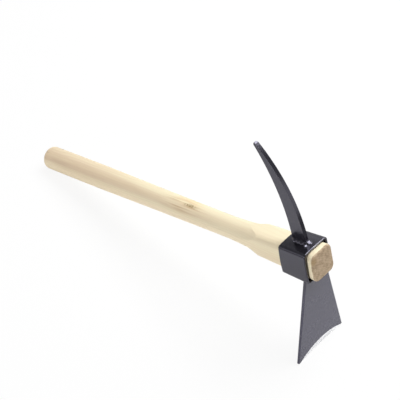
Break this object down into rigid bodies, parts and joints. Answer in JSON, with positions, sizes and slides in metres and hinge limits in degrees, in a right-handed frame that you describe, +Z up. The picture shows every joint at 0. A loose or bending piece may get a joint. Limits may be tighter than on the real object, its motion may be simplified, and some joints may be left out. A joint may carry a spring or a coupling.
{
  "type": "pick hoe",
  "caption": "Short garden pick hoe: a curved pick tine and a flared hoe blade welded to a square tapered steel eye, on a wooden handle that drops through the eye and draws out forward.",
  "frame": {"origin": "centre of the base of the part's box, on the surface that the tool stands on with its cutting edge and its butt", "axes": "+X towards the head along the length of the tool, +Z up, +Y to the left seen from the butt; the tool is the same on both sides of the XZ plane"},
  "size_m": [0.4549, 0.079, 0.2435],
  "materials": {
    "wood": "smooth pale wood, sanded, thin clear coat",
    "black_paint": "gloss black paint, ground bright at the cutting edge"
  },
  "bodies": {
    "head": {"eye_socket": "black_paint", "pick_tine": "black_paint", "hoe_blade": "black_paint", "tine_weld": "black_paint", "blade_weld": "black_paint"},
    "handle": {"handle": "wood"}
  },
  "joints": [
    {"name": "handle_draw", "type": "slide", "parent": "head", "child": "handle", "axis": [0.9665, 0, 0.2565], "range_m": [0, 0.413]}
  ]
}
